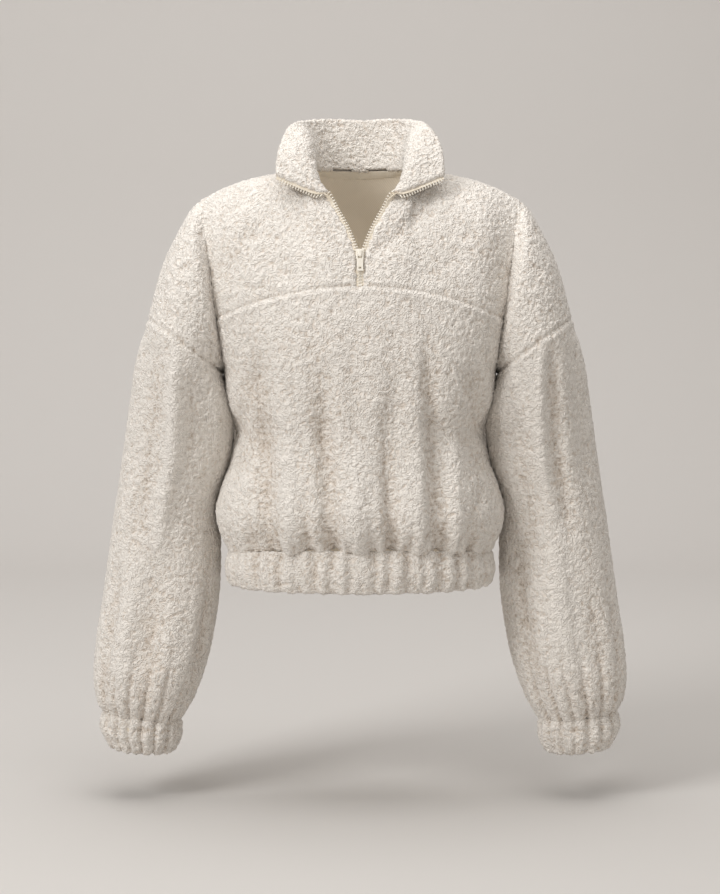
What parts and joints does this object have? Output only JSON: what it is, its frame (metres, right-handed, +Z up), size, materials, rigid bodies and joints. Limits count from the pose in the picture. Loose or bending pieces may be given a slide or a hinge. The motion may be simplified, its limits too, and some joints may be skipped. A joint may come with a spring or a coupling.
{
  "type": "fleece pullover",
  "caption": "Cropped sherpa fleece pullover with a quarter zip, a fallen stand collar, dropped shoulders, full sleeves, and elasticated cuffs and hem band.",
  "frame": {"origin": "middle of the neck at the height of the shoulders, where the wearer holds the garment", "axes": "+X towards the wearer's left, +Y towards the back, +Z up along the body"},
  "size_m": [0.6572, 0.235, 0.7746],
  "materials": {
    "sherpa_fleece": "matte curled pile",
    "neck_tape": "matte",
    "zip_tape": "matte",
    "zip_resin": "satin"
  },
  "bodies": {
    "pullover": {"back_body": "sherpa_fleece", "back_neck_tape": "neck_tape", "collar": "sherpa_fleece", "cuff_left": "sherpa_fleece", "cuff_right": "sherpa_fleece", "front_body": "sherpa_fleece", "hem_band": "sherpa_fleece", "sleeve_left": "sherpa_fleece", "sleeve_right": "sherpa_fleece", "yoke_left": "sherpa_fleece", "yoke_right": "sherpa_fleece", "zip_bottom_stop": "zip_resin", "zip_slider": "zip_resin", "zip_tape_left": "zip_tape", "zip_tape_right": "zip_tape"},
    "pull": {"zip_pull": "zip_resin"}
  },
  "joints": [
    {"name": "pull_tab", "type": "hinge", "parent": "pullover", "child": "pull", "pos_m": [0, -0.09079, -0.0942], "axis": [-1, 0, 0], "range_deg": [0, 150]}
  ]
}
